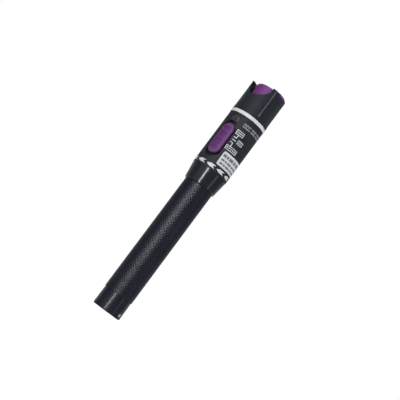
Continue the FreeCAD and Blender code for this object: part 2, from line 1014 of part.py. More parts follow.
def switch_lever():
    """Post of the slide switch, driven by the carriage's fork."""
    half = size.lever_width / 2
    return block(
        "switch_lever",
        (-half, -size.carriage_back, place.switch_centre - half),
        (half, -place.switch_front + size.lever_root, place.switch_centre + half),
    )


def slider_bed():
    """Curved guide behind the window, slotted for the knob's stem."""
    height = place.guard_spigot_foot - place.deck
    ring = cut(
        "bed_ring",
        rod("bed_outside", place.slip, height, place.deck),
        rod("bed_inside", place.bed_inner, height, place.deck),
    )
    front = block(
        "bed_front",
        (-size.bed_width / 2, -place.slip, place.deck),
        (size.bed_width / 2, 0, place.guard_spigot_foot),
    )
    half_width = size.stem_width / 2 + size.stem_clearance
    half_length = size.stem_length / 2 + size.knob_throw + size.stem_clearance
    slot = block(
        "bed_slot",
        (-half_width, -place.slip, place.switch_centre - half_length),
        (half_width, 0, place.switch_centre + half_length),
    )
    return cut("slider_bed", overlap("bed_arc", ring, front), slot)


def slider_carriage():
    """Plate on the knob's stem, with a fork that straddles the switch lever."""
    half_width = size.carriage_width / 2
    front = size.carriage_back + size.carriage_thickness
    plate = block(
        "carriage_plate",
        (-half_width, -front, place.switch_centre - size.carriage_length / 2),
        (half_width, -size.carriage_back, place.switch_centre + size.carriage_length / 2),
    )
    inner = size.lever_width / 2 + size.fork_clearance
    fork_back = -size.carriage_back + size.fork_depth
    tines = [
        block(
            "fork_low",
            (-half_width, -size.carriage_back, place.switch_centre - inner - size.fork_width),
            (half_width, fork_back, place.switch_centre - inner),
        ),
        block(
            "fork_high",
            (-half_width, -size.carriage_back, place.switch_centre + inner),
            (half_width, fork_back, place.switch_centre + inner + size.fork_width),
        ),
    ]
    return fuse("slider_carriage", plate, *tines)


def knob_blank(name, outer, inner):
    """Slot-shaped block between two radii, centred on the switch."""
    body = document.addObject("PartDesign::Body", f"{name}_block")
    sketch = new_sketch(body, "XZ_Plane", f"{name}_outline")
    draw_slot(
        sketch,
        size.knob_width,
        size.knob_length,
        place.switch_centre,
    )
    pad = body.newObject("PartDesign::Pad", f"{name}_pad")
    pad.Profile = sketch
    bind(pad, {"Length": outer + size.knob_rise})
    sketch.Visibility = False
    foot = place.switch_centre - size.knob_length
    ring = cut(
        f"{name}_ring",
        rod(f"{name}_ring_outside", outer, size.knob_length * 2, foot),
        rod(f"{name}_ring_inside", inner, size.knob_length * 2, foot),
    )
    return overlap(f"{name}_blank", body, ring)


def slider_knob():
    """Thumb knob with a bevelled rim, a ribbed dish and a stem through the bed."""
    top = place.film + size.knob_rise
    blank = knob_blank("knob", top, place.knob_under)
    crest = bevel_crest("knob_crest", blank, top.number, size.knob_bevel.number)
    stem = block(
        "knob_stem",
        (
            -size.stem_width / 2,
            -place.knob_under - size.knob_rise,
            place.switch_centre - size.stem_length / 2,
        ),
        (
            size.stem_width / 2,
            -size.carriage_back - size.carriage_thickness,
            place.switch_centre + size.stem_length / 2,
        ),
    )
    solid = fuse("knob_solid", crest, stem)
    return cut("slider_knob", solid, knob_dish(top))


def knob_dish(top):
    """Shallow finger dish in the knob, with cross ribs left standing in it."""
    foot = place.switch_centre - size.dish_length / 2
    shell = cut(
        "dish_shell",
        rod("dish_outside", top + size.knob_rise, size.dish_length, foot),
        rod("dish_floor", top - size.dish_depth, size.dish_length, foot),
    )
    room = block(
        "dish_room",
        (-size.dish_width / 2, -top - size.knob_rise, foot),
        (size.dish_width / 2, 0, foot + size.dish_length),
    )
    ribs = []
    for row in (-1, 0, 1):
        middle = place.switch_centre + size.rib_pitch * row
        ribs.append(
            block(
                f"dish_rib_{row + 2}",
                (-size.dish_width / 2, -top - size.knob_rise, middle - size.rib_width / 2),
                (size.dish_width / 2, 0, middle + size.rib_width / 2),
            )
        )
    return cut("knob_dish", overlap("dish_plain", shell, room), group("dish_ribs", *ribs))


def laser_housing():
    """Turned sleeve that lines the diode and lens up with the port."""
    outer = size.housing_diameter / 2
    foot = size.housing_foot_diameter / 2
    flange = size.diode_flange_diameter / 2 + size.diode_clearance
    can = size.diode_can_diameter / 2 + size.diode_clearance
    lens = size.lens_diameter / 2 + size.diode_clearance
    lens_shelf = place.bulkhead_top + size.lens_seat
    return turned(
        "laser_housing",
        (flange, place.bulkhead_foot),
        (foot, place.bulkhead_foot),
        (foot, place.bulkhead_top),
        (outer, place.bulkhead_top),
        (outer, place.stem_foot),
        (lens, place.stem_foot),
        (lens, lens_shelf),
        (can, lens_shelf),
        (can, place.bulkhead_top),
        (flange, place.bulkhead_top),
    )


def laser_diode():
    """Round diode package with three pins down to the board."""
    flange = size.diode_flange_diameter / 2
    can = size.diode_can_diameter / 2
    flange_foot = place.bulkhead_top - size.diode_flange
    package = turned(
        "diode_package",
        (0, flange_foot),
        (flange, flange_foot),
        (flange, place.bulkhead_top),
        (can, place.bulkhead_top),
        (can, place.bulkhead_top + size.diode_can),
        (0, place.bulkhead_top + size.diode_can),
    )
    reach = size.pin_circle / 2
    pins = []
    for name, across, back in [("a", -reach, 0), ("b", reach, 0), ("c", 0, -reach)]:
        pin = rod(f"diode_pin_{name}", size.pin_diameter / 2, size.pin_length + size.diode_flange / 2)
        bind(
            pin,
            {
                "Placement.Base.x": across,
                "Placement.Base.y": back,
                "Placement.Base.z": flange_foot - size.pin_length,
            },
        )
        pins.append(pin)
    return fuse("laser_diode", package, *pins)


def focus_lens():
    """Plano-convex lens on its shelf in the housing."""
    radius = size.lens_diameter / 2
    rise = size.lens_thickness - size.lens_edge
    foot = place.bulkhead_top + size.lens_seat
    ball_radius = (radius * radius / rise + rise) / 2
    ball = make("Part::Sphere", "lens_ball", {"Radius": ball_radius})
    bind(ball, lift(foot + size.lens_thickness - ball_radius))
    return overlap("focus_lens", rod("lens_rod", radius, size.lens_thickness, foot), ball)


def port_body():
    """Metal ferrule port: stem through the crown's floor, flange and socket."""
    beam = size.beam_diameter / 2
    stem = size.port_stem_diameter / 2
    flange = size.port_flange_diameter / 2
    socket = size.port_diameter / 2
    pocket = size.sleeve_bore / 2 + size.sleeve_wall + size.sleeve_clearance
    return turned(
        "port_body",
        (beam, place.stem_foot),
        (stem, place.stem_foot),
        (stem, place.floor_top),
        (flange, place.floor_top),
        (flange, place.port_flange_top),
        (socket, place.port_flange_top),
        (socket, place.port_top - size.port_bevel),
        (socket - size.port_bevel, place.port_top),
        (pocket, place.port_top),
        (pocket, place.sleeve_foot),
        (beam, place.sleeve_foot),
    )


def port_nut():
    """Hexagon nut that clamps the port to the crown's floor from below."""
    foot = place.floor_foot - size.nut_height
    hexagon = make(
        "Part::Prism",
        "nut_hexagon",
        {"Circumradius": size.nut_width / 2 * HEXAGON_CORNER_PER_FLAT, "Height": size.nut_height, **lift(foot)},
    )
    hexagon.Polygon = 6
    hole = rod(
        "nut_hole", size.port_stem_diameter / 2 + size.nut_clearance, size.nut_height, foot
    )
    return cut("port_nut", hexagon, hole)


def ceramic_sleeve():
    """Alignment sleeve that guides the ferrule."""
    bore = size.sleeve_bore / 2
    return turned(
        "ceramic_sleeve",
        (bore, place.sleeve_foot),
        (bore + size.sleeve_wall, place.sleeve_foot),
        (bore + size.sleeve_wall, place.sleeve_top),
        (bore, place.sleeve_top),
    )


def dust_cap():
    """Soft cap: a plug that grips the port, and a flange on the crown's back rim."""
    plug = size.plug_diameter / 2
    bore = size.port_diameter / 2 + size.cap_bore_clearance
    hollow_roof = place.cap_top - size.hollow_roof
    body = turned(
        "cap_plug",
        (bore, place.plug_foot),
        (size.hollow_inner_diameter / 2, place.plug_foot),
        (size.hollow_inner_diameter / 2, hollow_roof),
        (size.hollow_outer_diameter / 2, hollow_roof),
        (size.hollow_outer_diameter / 2, place.plug_foot),
        (plug, place.plug_foot),
        (plug, place.cap_top - size.cap_round),
        (plug - size.cap_round, place.cap_top),
        (0, place.cap_top),
        (0, place.port_top + size.cap_bore_headroom),
        (bore, place.port_top + size.cap_bore_headroom),
    )
    wing = turned(
        "cap_wing_ring",
        (plug - size.cap_round * 2, place.rim),
        (place.film, place.rim),
        (place.film, place.cap_top - size.cap_round),
        (place.film - size.cap_round, place.cap_top),
        (plug - size.cap_round * 2, place.cap_top),
    )
    reach = turn_about_axis(
        rod("cap_wing_reach", place.film + size.guard_wall, size.guard_height, place.plug_foot),
        size.horn_outer_angle + size.horn_gap_angle - 90,
    )
    bind(reach, {"Angle": as_size(WHOLE_TURN) - (size.horn_outer_angle + size.horn_gap_angle) * 2})
    cap = fuse("dust_cap", body, overlap("cap_wing", wing, reach))
    return turn_about_axis(cap, size.crown_turn + WHOLE_TURN)


SUB_PARTS = [
    battery_tube,
    tail_spring,
    seal_ring,
    collar,
    ground_ring,
    contact_holder,
    front_contact,
    head_barrel,
    label_film,
    accent_ring,
    crown_guard,
    chassis,
    board_screws,
    circuit_board,
    driver_chip,
    boost_coil,
    filter_capacitor,
    switch_body,
    switch_cover,
    switch_lever,
    slider_bed,
    slider_carriage,
    slider_knob,
    laser_housing,
    laser_diode,
    focus_lens,
    port_body,
    port_nut,
    ceramic_sleeve,
    dust_cap,
]


def build_sub_parts():
    """Make every sub-part and give each its own label."""
    parts = {build.__name__: build() for build in SUB_PARTS}
    parts["rear_cell"] = cell("rear_cell", place.cells_foot)
    parts["front_cell"] = cell("front_cell", place.cells_foot + size.cell_length)
    for label, item in parts.items():
        item.Label = label
    return parts


def check_document(parts):
    """Stop if anything in the document failed or a sub-part has no sound shape."""
    for item in document.Objects:
        if "Invalid" in item.State or "Error" in item.State:
            raise RuntimeError(f"{item.Name} failed: {item.State}")
    for label, item in parts.items():
        if item.Shape.isNull() or not item.Shape.isValid():
            raise RuntimeError(f"{label} has no sound shape")
        if item.Shape.Volume <= 0:
            raise RuntimeError(f"{label} encloses nothing")


def main():
    """Build the pen and write one STEP file for each sub-part."""
    parts = build_sub_parts()
    document.recompute()
    check_document(parts)
    os.makedirs("parts", exist_ok=True)
    for label, item in parts.items():
        item.Shape.exportStep(f"parts/{label}.step")
    print(f"{len(parts)} sub-parts written")


main()
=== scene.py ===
import bmesh
import bpy
import math
import numpy as np
from mathutils import Matrix, Vector


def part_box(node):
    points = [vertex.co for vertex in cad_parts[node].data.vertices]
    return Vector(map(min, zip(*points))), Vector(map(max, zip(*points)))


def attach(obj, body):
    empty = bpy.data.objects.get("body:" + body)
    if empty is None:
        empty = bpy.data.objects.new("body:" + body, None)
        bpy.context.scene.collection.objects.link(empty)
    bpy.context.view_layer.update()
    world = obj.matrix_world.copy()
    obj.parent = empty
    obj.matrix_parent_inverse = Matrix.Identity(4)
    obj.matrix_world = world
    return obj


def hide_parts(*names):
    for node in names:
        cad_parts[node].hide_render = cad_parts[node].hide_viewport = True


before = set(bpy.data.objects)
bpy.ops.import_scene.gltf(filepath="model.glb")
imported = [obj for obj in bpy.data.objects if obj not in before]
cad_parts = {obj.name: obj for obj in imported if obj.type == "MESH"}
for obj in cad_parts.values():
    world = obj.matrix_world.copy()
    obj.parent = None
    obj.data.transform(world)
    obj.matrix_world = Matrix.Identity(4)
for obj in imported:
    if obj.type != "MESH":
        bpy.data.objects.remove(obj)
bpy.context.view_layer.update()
mm = 0.001
weldDistance = 1e-7
noiseSpan = (0.3, 0.7)  # the middle of a noise's range, where most of its values are
noiseRoughness = 0.55
slowDrift = (90, 3)  # scale and detail of the noise that moves a colour between its shades
print("frame loaded:", len(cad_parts), "nodes")


# The points are an (n, 3) array in metres, and the quads an (m, 4) array of point numbers.
def meshObject(name, points, quads, smooth=True):
    mesh = bpy.data.meshes.new(name)
    mesh.from_pydata(points.tolist(), [], quads.tolist())
    mesh.polygons.foreach_set("use_smooth", np.full(len(mesh.polygons), smooth))
    mesh.update()
    thing = bpy.data.objects.new(name, mesh)
    bpy.context.collection.objects.link(thing)
    return thing


# Merges the doubles of a mesh and, where it was made here, turns its faces outwards.
def weld(mesh, outwards):
    work = bmesh.new()
    work.from_mesh(mesh)
    bmesh.ops.remove_doubles(work, verts=work.verts, dist=weldDistance)
    if outwards:
        bmesh.ops.recalc_face_normals(work, faces=work.faces)
    work.to_mesh(mesh)
    work.free()


# Point numbers of each cell of a grid. A closed grid joins its last row and column to the first ones.
def gridQuads(rows, columns, closed=False):
    openEdge = 0 if closed else 1
    row, column = np.meshgrid(np.arange(rows - openEdge), np.arange(columns - openEdge), indexing="ij")
    nextRow = (row + 1) % rows
    nextColumn = (column + 1) % columns
    corners = [row * columns + column, row * columns + nextColumn,
               nextRow * columns + nextColumn, nextRow * columns + column]
    return np.stack(corners, -1).reshape(-1, 4)


# x = r sin t, y = -r cos t, z = h: the turn t is 0 at the slide switch and grows to the right of it.
def aroundAxis(radius, turn, height):
    return np.stack([radius * np.sin(turn), -radius * np.cos(turn), height], -1)


# A closed sleeve about Z: its skin is r(turn, height) on a grid, in mm, and its bore is plain.
def sleeve(name, turn, height, radius, bore, smooth):
    ends = height[[-1, 0]]
    skin = aroundAxis(radius * mm, turn + 0 * radius, height * mm)
    wall = aroundAxis(np.full(ends.shape, bore * mm), turn + 0 * ends, ends * mm)
    points = np.concatenate([skin, wall]).reshape(-1, 3)
    made = meshObject(name, points, gridQuads(len(radius) + 2, turn.size, closed=True), smooth)
    weld(made.data, outwards=True)
    return made


def fullTurn(steps):
    return np.linspace(0, 2 * np.pi, steps, endpoint=False)[None, :]


# Screen values 0 to 255 as a linear colour.
def srgb(red, green, blue):
    share = np.array([red, green, blue]) / 255
    line = np.where(share <= 0.04045, share / 12.92, ((share + 0.055) / 1.055) ** 2.4)
    return (*line.tolist(), 1.0)


# Short calls for the nodes of one tree.
class Wiring:
    def __init__(self, tree):
        self.nodes = tree.nodes
        self.links = tree.links

    def node(self, kind, **settings):
        made = self.nodes.new(kind)
        for key, value in settings.items():
            setattr(made, key, value)
        return made

    def feed(self, socket, value):
        if isinstance(value, bpy.types.NodeSocket):
            self.links.new(value, socket)
        else:
            socket.default_value = value

    def math(self, operation, first, second=0.0):
        made = self.node("ShaderNodeMath", operation=operation)
        self.feed(made.inputs[0], first)
        self.feed(made.inputs[1], second)
        return made.outputs[0]

    def remap(self, value, low, high, newLow, newHigh, **settings):
        made = self.node("ShaderNodeMapRange", **settings)
        for socket, number in zip(made.inputs[:5], (value, low, high, newLow, newHigh)):
            self.feed(socket, number)
        return made.outputs[0]


# A material that is being put together. A look holds its two shades (0 to 255), its range of roughness,
# the scale and height (mm) of its grain, and values for the shader's own sockets.
class Finish(Wiring):
    def __init__(self, name, look):
        self.material = bpy.data.materials.new(name)
        self.material.use_nodes = True
        super().__init__(self.material.node_tree)
        self.shader = self.nodes["Principled BSDF"]
        self.place = self.node("ShaderNodeTexCoord").outputs["Object"]
        for socket, value in look.get("sockets", {}).items():
            self.shader.inputs[socket].default_value = value

    # The X, Y or Z of a place on the piece, in metres.
    def along(self, axis):
        made = self.node("ShaderNodeSeparateXYZ")
        self.feed(made.inputs[0], self.place)
        return made.outputs[axis]

    # Distance from the pen's axis: the root of x x + y y.
    def radius(self):
        x, y = self.along("X"), self.along("Y")
        return self.math("SQRT", self.math("ADD", self.math("MULTIPLY", x, x), self.math("MULTIPLY", y, y)))

    # Goes from the first value to the second while a length passes through a span, which is in mm.
    def ramp(self, length, span, values=(0, 1)):
        return self.remap(length, span[0] * mm, span[1] * mm, *values)

    def noise(self, scale, detail, vector=None):
        made = self.node("ShaderNodeTexNoise")
        self.feed(made.inputs["Vector"], vector or self.place)
        self.feed(made.inputs["Scale"], scale)
        self.feed(made.inputs["Detail"], detail)
        self.feed(made.inputs["Roughness"], noiseRoughness)
        return made.outputs["Fac"]

    def blend(self, share, first, second):
        made = self.node("ShaderNodeMix", data_type="RGBA")
        self.feed(made.inputs[0], share)
        self.feed(made.inputs[6], first)  # the colour A, and below it the colour B
        self.feed(made.inputs[7], second)
        return made.outputs[2]

    # Colour that drifts slowly between the look's two shades.
    def drift(self, look):
        share = self.remap(self.noise(*look.get("drift", slowDrift)), *noiseSpan, 0, 1)
        return self.blend(share, srgb(*look["dark"]), srgb(*look["light"]))

    def colour(self, value):
        self.feed(self.shader.inputs["Base Color"], value)

    def bump(self, pattern, height):
        made = self.node("ShaderNodeBump")
        self.feed(made.inputs["Distance"], height * mm)
        self.feed(made.inputs["Height"], pattern)
        self.feed(self.shader.inputs["Normal"], made.outputs[0])

    # Fine noise that sets the roughness and stands up from the surface.
    def grain(self, look, detail=2, vector=None):
        pattern = self.noise(look["grain"], detail, vector)
        self.feed(self.shader.inputs["Roughness"], self.remap(pattern, *noiseSpan, *look["rough"]))
        self.bump(pattern, look["grainHeight"])


# Moulded, coated or printed surface: fine even grain over a slowly drifting colour.
def speckledFinish(name, look):
    made = Finish(name, look)
    made.colour(made.drift(look))
    made.grain(look)
    return made.material


def dress(material, *nodeNames):
    for name in nodeNames:
        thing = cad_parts[name]
        thing.data.materials.clear()
        thing.data.materials.append(material)


# Black anodised tube. All heights are from the tail's face and all lengths are in mm.
tube = {
    "dark": (20, 24, 37),
    "light": (26, 30, 44),
    "rough": (0.24, 0.3),
    "grain": 3000,
    "grainHeight": 0.002,
    "wallFacing": 0.97,  # a face this close to the radial way belongs to a round wall
}

grip = {
    "dark": tube["dark"],
    "light": tube["light"],
    "rough": (0.31, 0.39),
    "grain": 3000,
    "grainHeight": 0.004,
    "sockets": {"Specular IOR Level": 0.4},
    "foot": 12.4,
    "top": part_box("collar")[0].z / mm,
    "radius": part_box("battery_tube")[1].x / mm,
    "coreRadius": 9.6,
    "coreSkin": 0.35,  # how deep and how far below the foot the tube's own skin is drawn in
    "coreBelow": 0.05,
    "bore": 9.5,
    "groove": 0.13,
    "flatShare": 0.5,  # of the way from a diamond's middle to the next groove
    "diamondsAround": 36,
    "diamondsUp": 38,
    "stepsPerDiamond": 8,
    "runIn": 0.5,
}

thread = {
    "foot": 98.6,
    "top": 106.8,
    "radius": 8.9,
    "coreRadius": 8.5,
    "coreSkin": 0.02,
    "coreBelow": 0.8,
    "bore": 8.3,
    "pitch": 1.0,
    "cut": 0.28,
    "flank": 2.6,
    "crest": 0.2,
    "runIn": 0.3,
    "runOut": 0.4,
    "fade": 0.5,
    "stepsAround": 72,
    "stepsUp": 130,
}

# Bare aluminium lining of the lanyard hole, its colour raised to near white as painted light, since little
# lamp light reaches into the hole.
lining = {
    "dark": (232, 233, 236),
    "light": (244, 245, 247),
    "rough": (0.45, 0.6),
    "grain": 1600,
    "grainHeight": 0.006,
    "sockets": {"Metallic": 0.1},
    "height": 2.8,
    "outer": 1.1,
    "inner": 1.03,
    "start": 7.25,  # x of the ends of the lining
    "end": 9.7,
    "steps": 40,
}


# Corner normals: n = +-(x, y, 0) / r on the round walls, and the face's own normal elsewhere.
def roundWalls(mesh, points):
    corners = np.empty(len(mesh.loops), np.int32)
    mesh.loops.foreach_get("vertex_index", corners)
    sides = np.empty(len(mesh.polygons), np.int32)
    mesh.polygons.foreach_get("loop_total", sides)
    faceNormals = np.empty(len(mesh.polygons) * 3)
    mesh.polygons.foreach_get("normal", faceNormals)
    faceNormals = np.repeat(faceNormals.reshape(-1, 3), sides, 0)
    radial = points[corners] * (1, 1, 0)
    radial /= np.maximum(np.linalg.norm(radial, axis=1, keepdims=True), 1e-9)  # safe on the axis
    facing = (faceNormals * radial).sum(1, keepdims=True)
    normals = np.where(np.abs(facing) > tube["wallFacing"], radial * np.sign(facing), faceNormals)
    mesh.normals_split_custom_set(normals.tolist())


# Copy of the tube's own mesh, with its skin drawn in to the core's radius under the grip and the thread.
def tubeCore():
    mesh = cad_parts["battery_tube"].data.copy()
    weld(mesh, outwards=False)
    points = np.empty(len(mesh.vertices) * 3)
    mesh.vertices.foreach_get("co", points)
    points = points.reshape(-1, 3)
    radius = np.hypot(points[:, 0], points[:, 1]) / mm
    height = points[:, 2] / mm
    scale = np.ones(len(points))
    for spec in (thread, grip):
        under = (radius > spec["radius"] - spec["coreSkin"]) & (height > spec["foot"] - spec["coreBelow"])
        scale[under] = spec["coreRadius"] / radius[under]
    points[:, :2] *= scale[:, None]
    mesh.vertices.foreach_set("co", points.ravel())
    mesh.update()
    core = bpy.data.objects.new("tubeCore", mesh)
    bpy.context.collection.objects.link(core)
    mesh.materials.clear()
    mesh.polygons.foreach_set("use_smooth", np.full(len(mesh.polygons), True))
    roundWalls(mesh, points)
    return core


# r = R - d k: k is 0 on the diamonds' flat tops and rises smoothly to 1 in the grooves. They run where the
# turn plus or minus the height is a whole number of diamonds: u and v are 1 there, and 0 halfway between.
def knurledGrip():
    turn = fullTurn(grip["diamondsAround"] * grip["stepsPerDiamond"])
    share = np.linspace(0, 1, grip["diamondsUp"] * grip["stepsPerDiamond"] + 1)[:, None]
    across = turn / (2 * np.pi) * grip["diamondsAround"]
    along = share * grip["diamondsUp"]
    u = np.abs((across + along) % 1 - 0.5) * 2
    v = np.abs((across - along) % 1 - 0.5) * 2
    relief = np.clip((np.maximum(u, v) - grip["flatShare"]) / (1 - grip["flatShare"]), 0, 1)
    relief = relief * relief * (3 - 2 * relief)
    height = grip["foot"] + (grip["top"] - grip["foot"]) * share + 0 * turn
    fade = np.clip(np.minimum(height - grip["foot"], grip["top"] - height) / grip["runIn"], 0, 1)
    radius = grip["radius"] - grip["groove"] * relief * fade
    return sleeve("gripKnurl", turn, height, radius, grip["bore"], smooth=True)


# r = R - d w(z / pitch - turn): a single thread cut into the spigot. w is a V with a flat crest and root.
def spigotThread():
    turn = fullTurn(thread["stepsAround"])
    height = np.linspace(thread["foot"], thread["top"], thread["stepsUp"])[:, None] + 0 * turn
    phase = (height / thread["pitch"] - turn / (2 * np.pi)) % 1
    wave = np.clip(np.abs(phase - 0.5) * thread["flank"] - thread["crest"], 0, 1)
    fromFoot = height - thread["foot"] - thread["runIn"]
    fromTop = thread["top"] - thread["runOut"] - height
    fade = np.clip(np.minimum(fromFoot, fromTop) / thread["fade"], 0, 1)
    radius = thread["radius"] - thread["cut"] * wave * fade
    return sleeve("spigotThread", turn, height, radius, thread["bore"], smooth=False)


# Bare metal wall of the lanyard hole: y = r cos a, z = h + r sin a, for x through the tube's wall.
def lanyardLining():
    angle = fullTurn(lining["steps"])
    radius = np.array([[lining[side]] for side in ("inner", "inner", "outer", "outer")]) + 0 * angle
    x = np.array([[lining[side]] for side in ("start", "end", "end", "start")]) + 0 * angle
    points = np.stack([x, radius * np.cos(angle), lining["height"] + radius * np.sin(angle)], -1) * mm
    made = meshObject("lanyardLining", points.reshape(-1, 3), gridQuads(4, lining["steps"], closed=True))
    weld(made.data, outwards=True)
    return made


anodised = speckledFinish("anodisedBlack", tube)
tubePieces = [(tubeCore(), anodised), (knurledGrip(), speckledFinish("anodisedGrip", grip)),
              (spigotThread(), anodised)]
for piece, material in tubePieces:
    piece.data.materials.append(material)
    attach(piece, "tube")
    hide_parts("battery_tube")
bareWall = lanyardLining()
bareWall.data.materials.append(speckledFinish("bareAluminium", lining))
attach(bareWall, "tube")
print("battery tube ready")


crown = {
    "dark": (21, 25, 36),
    "light": (28, 32, 44),
    "rough": (0.58, 0.68),
    "grain": 2600,
    "grainHeight": 0.015,
    "sockets": {"Specular IOR Level": 0.35, "Sheen Weight": 0.08, "Sheen Roughness": 0.5},
    # Painted highlight on the ribs' backs: its colour, the radii where the ribs stand proud, the height
    # where it starts, and how its strength fades upwards.
    "rib": (126, 130, 142),
    "ribRadius": (12.54, 12.58),
    "ribFoot": 152.3,
    "ribFade": (152.6, 155.6),
    "ribWear": (1.0, 0.46),
}


# Satin black, with a painted highlight along the backs of the grip ribs, strongest near their foot and
# fading upwards.
def crownFinish():
    made = Finish("satinBlack", crown)
    z = made.along("Z")
    paintedHighlight = made.math("MULTIPLY", made.ramp(z, crown["ribFade"], crown["ribWear"]),
                     made.math("GREATER_THAN", z, crown["ribFoot"] * mm))
    ribHighlightShare = made.math("MULTIPLY", made.ramp(made.radius(), crown["ribRadius"]), paintedHighlight)
    made.colour(made.blend(ribHighlightShare, made.drift(crown), srgb(*crown["rib"])))
    made.grain(crown)
    return made.material


knob = {
    "dark": (94, 38, 107),
    "light": (104, 48, 117),
    "rough": (0.42, 0.55),
    "grain": 2200,
    "grainHeight": 0.01,
    "sockets": {"Subsurface Weight": 0.06, "Subsurface Scale": 0.8 * mm},
    # Painted highlight on the rim's bevel: a paler, greyer purple.
    "rim": (110, 76, 121),
    "rimRadius": (13.28, 13.36),
    "rimWear": (0, 0.5),
    # Painted shade on the walls, which sit down in the slot: a deeper purple below the rim.
    "wall": (58, 24, 67),
    "wallRadius": (12.9, 13.2),
}


# Soft purple moulding, with a painted highlight on the rim round the dish and painted shade on the walls.
def knobFinish():
    made = Finish("knobPurple", knob)
    radius = made.radius()
    rim = made.ramp(radius, knob["rimRadius"], knob["rimWear"])
    paintedHighlight = made.blend(rim, made.drift(knob), srgb(*knob["rim"]))
    # The painted shade darkens the walls under the painted highlight of the rim.
    made.colour(made.blend(made.ramp(radius, knob["wallRadius"]), srgb(*knob["wall"]), paintedHighlight))
    made.grain(knob)
    return made.material


cap = {
    "dark": (106, 41, 118),
    "light": (118, 53, 130),
    "rough": (0.5, 0.64),
    "grain": 1800,
    "grainHeight": 0.012,
    "sockets": {"Subsurface Weight": 0.1, "Subsurface Scale": 1.0 * mm},
    # Painted shade in the recess where the flange meets the guard, on both flanks, fading out up the
    # flange.
    "shade": (48, 24, 58),
    "flankStart": (8.4, 10.4),
    "flangeFoot": (169.9, 170.4),
    "shadeFade": (170.6, 172.0),
}


# Soft purple moulding, with painted shade at the foot of the flange on both flanks.
def capFinish():
    made = Finish("capPurple", cap)
    z = made.along("Z")
    flank = made.ramp(made.math("ABSOLUTE", made.along("X")), cap["flankStart"])
    foot = made.math("MULTIPLY", flank, made.ramp(z, cap["flangeFoot"]))
    shade = made.math("MULTIPLY", foot, made.ramp(z, cap["shadeFade"], (1, 0)))
    made.colour(made.blend(shade, made.drift(cap), srgb(*cap["shade"])))
    made.grain(cap)
    return made.material


collar = {
    "dark": (30, 33, 42),
    "light": (37, 40, 50),
    "rough": (0.15, 0.19),
    "grain": 900,
    "grainHeight": 0.001,
}

accentRing = {
    "dark": (214, 216, 222),
    "light": (232, 233, 238),
    "rough": (0.35, 0.5),
    "grain": 1800,
    "grainHeight": 0.006,
}

dress(speckledFinish("glossBlack", collar), "collar")
dress(speckledFinish("ringWhite", accentRing), "accent_ring")
dress(crownFinish(), "crown_guard")
dress(knobFinish(), "slider_knob")
dress(capFinish(), "dust_cap")
print("head and cap ready")


# Matt film round the head, and what its print shares. Turns are in degrees.
film = {
    "dark": (30, 33, 41),
    "light": (39, 42, 50),
    "rough": (0.6, 0.7),
    "grain": 1500,
    "grainHeight": 0.004,
    "sockets": {"Specular IOR Level": 0.35},
    "radius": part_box("label_film")[1].x / mm,
    "lift": 0.03,
    "secondLift": 0.05,
    "strip": 3.0,  # widest strip that a mark is cut into
    "endInset": 1e-4,  # keeps the first and last cut off a mark's upright ends
    "middle": 34.0,  # turn from the slide switch to the middle of the marks
}

ink = {"rough": (0.4, 0.5), "grain": 2400, "grainHeight": 0.003}
inkShades = {
    "markWhite": {"dark": (208, 211, 215), "light": (222, 224, 228)},
    "markPale": {"dark": (156, 159, 165), "light": (176, 179, 185)},
    "markGrey": {"dark": (104, 108, 114), "light": (124, 128, 134)},
    "markDim": {"dark": (56, 50, 60), "light": (65, 59, 69)},
}

# Labels beside the switch: (left, right, low, high), with left and right counted from the marks' middle.
labels = {
    "boxes": [(-8, 17.5, 134.8, 137.8), (12.5, 31, 129.7, 132.6), (-8, 31, 123.3, 126.2)],
    "boxLine": (0.42, 2.0),  # height in mm, width in degrees
    "leaders": [(2.2, 4.6, 132.6, 134.8), (-5.5, 4.6, 132.3, 132.75), (-5.5, 7.5, 130.5, 130.95),
                (-5.5, 4.6, 128.5, 128.95), (2.2, 4.6, 126.2, 128.6)],
    "rule": (-4.0, 13.5, 136.0, 136.6),
    "square": (17, 25, 130.6, 131.7),
    "squareLine": (0.3, 1.5),
    "dashes": 6,
    "firstDash": (-4, -0.4, 124.3, 125.2),
    "dashPitch": 6.2,
}

panel = {
    "place": (-1, 112, 112.2, 122.0),
    "corner": (1.0, 4.5),  # height in mm, width in degrees
    "cornerEase": 0.3,
    "rowFeet": (118.5, 115.9, 113.5),
    "rowHeights": (1.9, 1.2, 1.2),
    "rowShift": 1.5,
    "words": ((3, 13), (15.5, 22), (24.5, 40), (43, 53), (56, 71), (74, 84), (87, 104)),
}

arrows = {
    "count": 10,
    "firstTip": -195.9,
    "pitch": 34.3,
    "low": 108.6,
    "high": 110.9,
    "length": 30,
    "shoulder": 11.0,
    "notch": 9,
}

# Title of plain blocks: the blocks' widths in degrees, with a 0 between two words.
title = {
    "letters": (4.2, 2.2, 4.4, 3.6, 4.2, 0, 3.8, 4.4, 2.0, 4.2, 0, 4.2, 3.4, 4.4, 4.0, 2.2, 4.2, 3.8),
    "start": -1.5,
    "gap": 1.5,
    "wordGap": 3.0,
    "stem": 1.3,
    "stroke": 0.6,
    "low": 140.7,
    "high": 143.5,
}

# Dim field above the knob, straight over the switch, with a small opening.
dimField = {
    "half": 13,
    "halfTop": 8,
    "halfOpening": 3.5,
    "low": 141.5,
    "sill": 142.0,
    "head": 143.6,
    "high": 145.2,
}


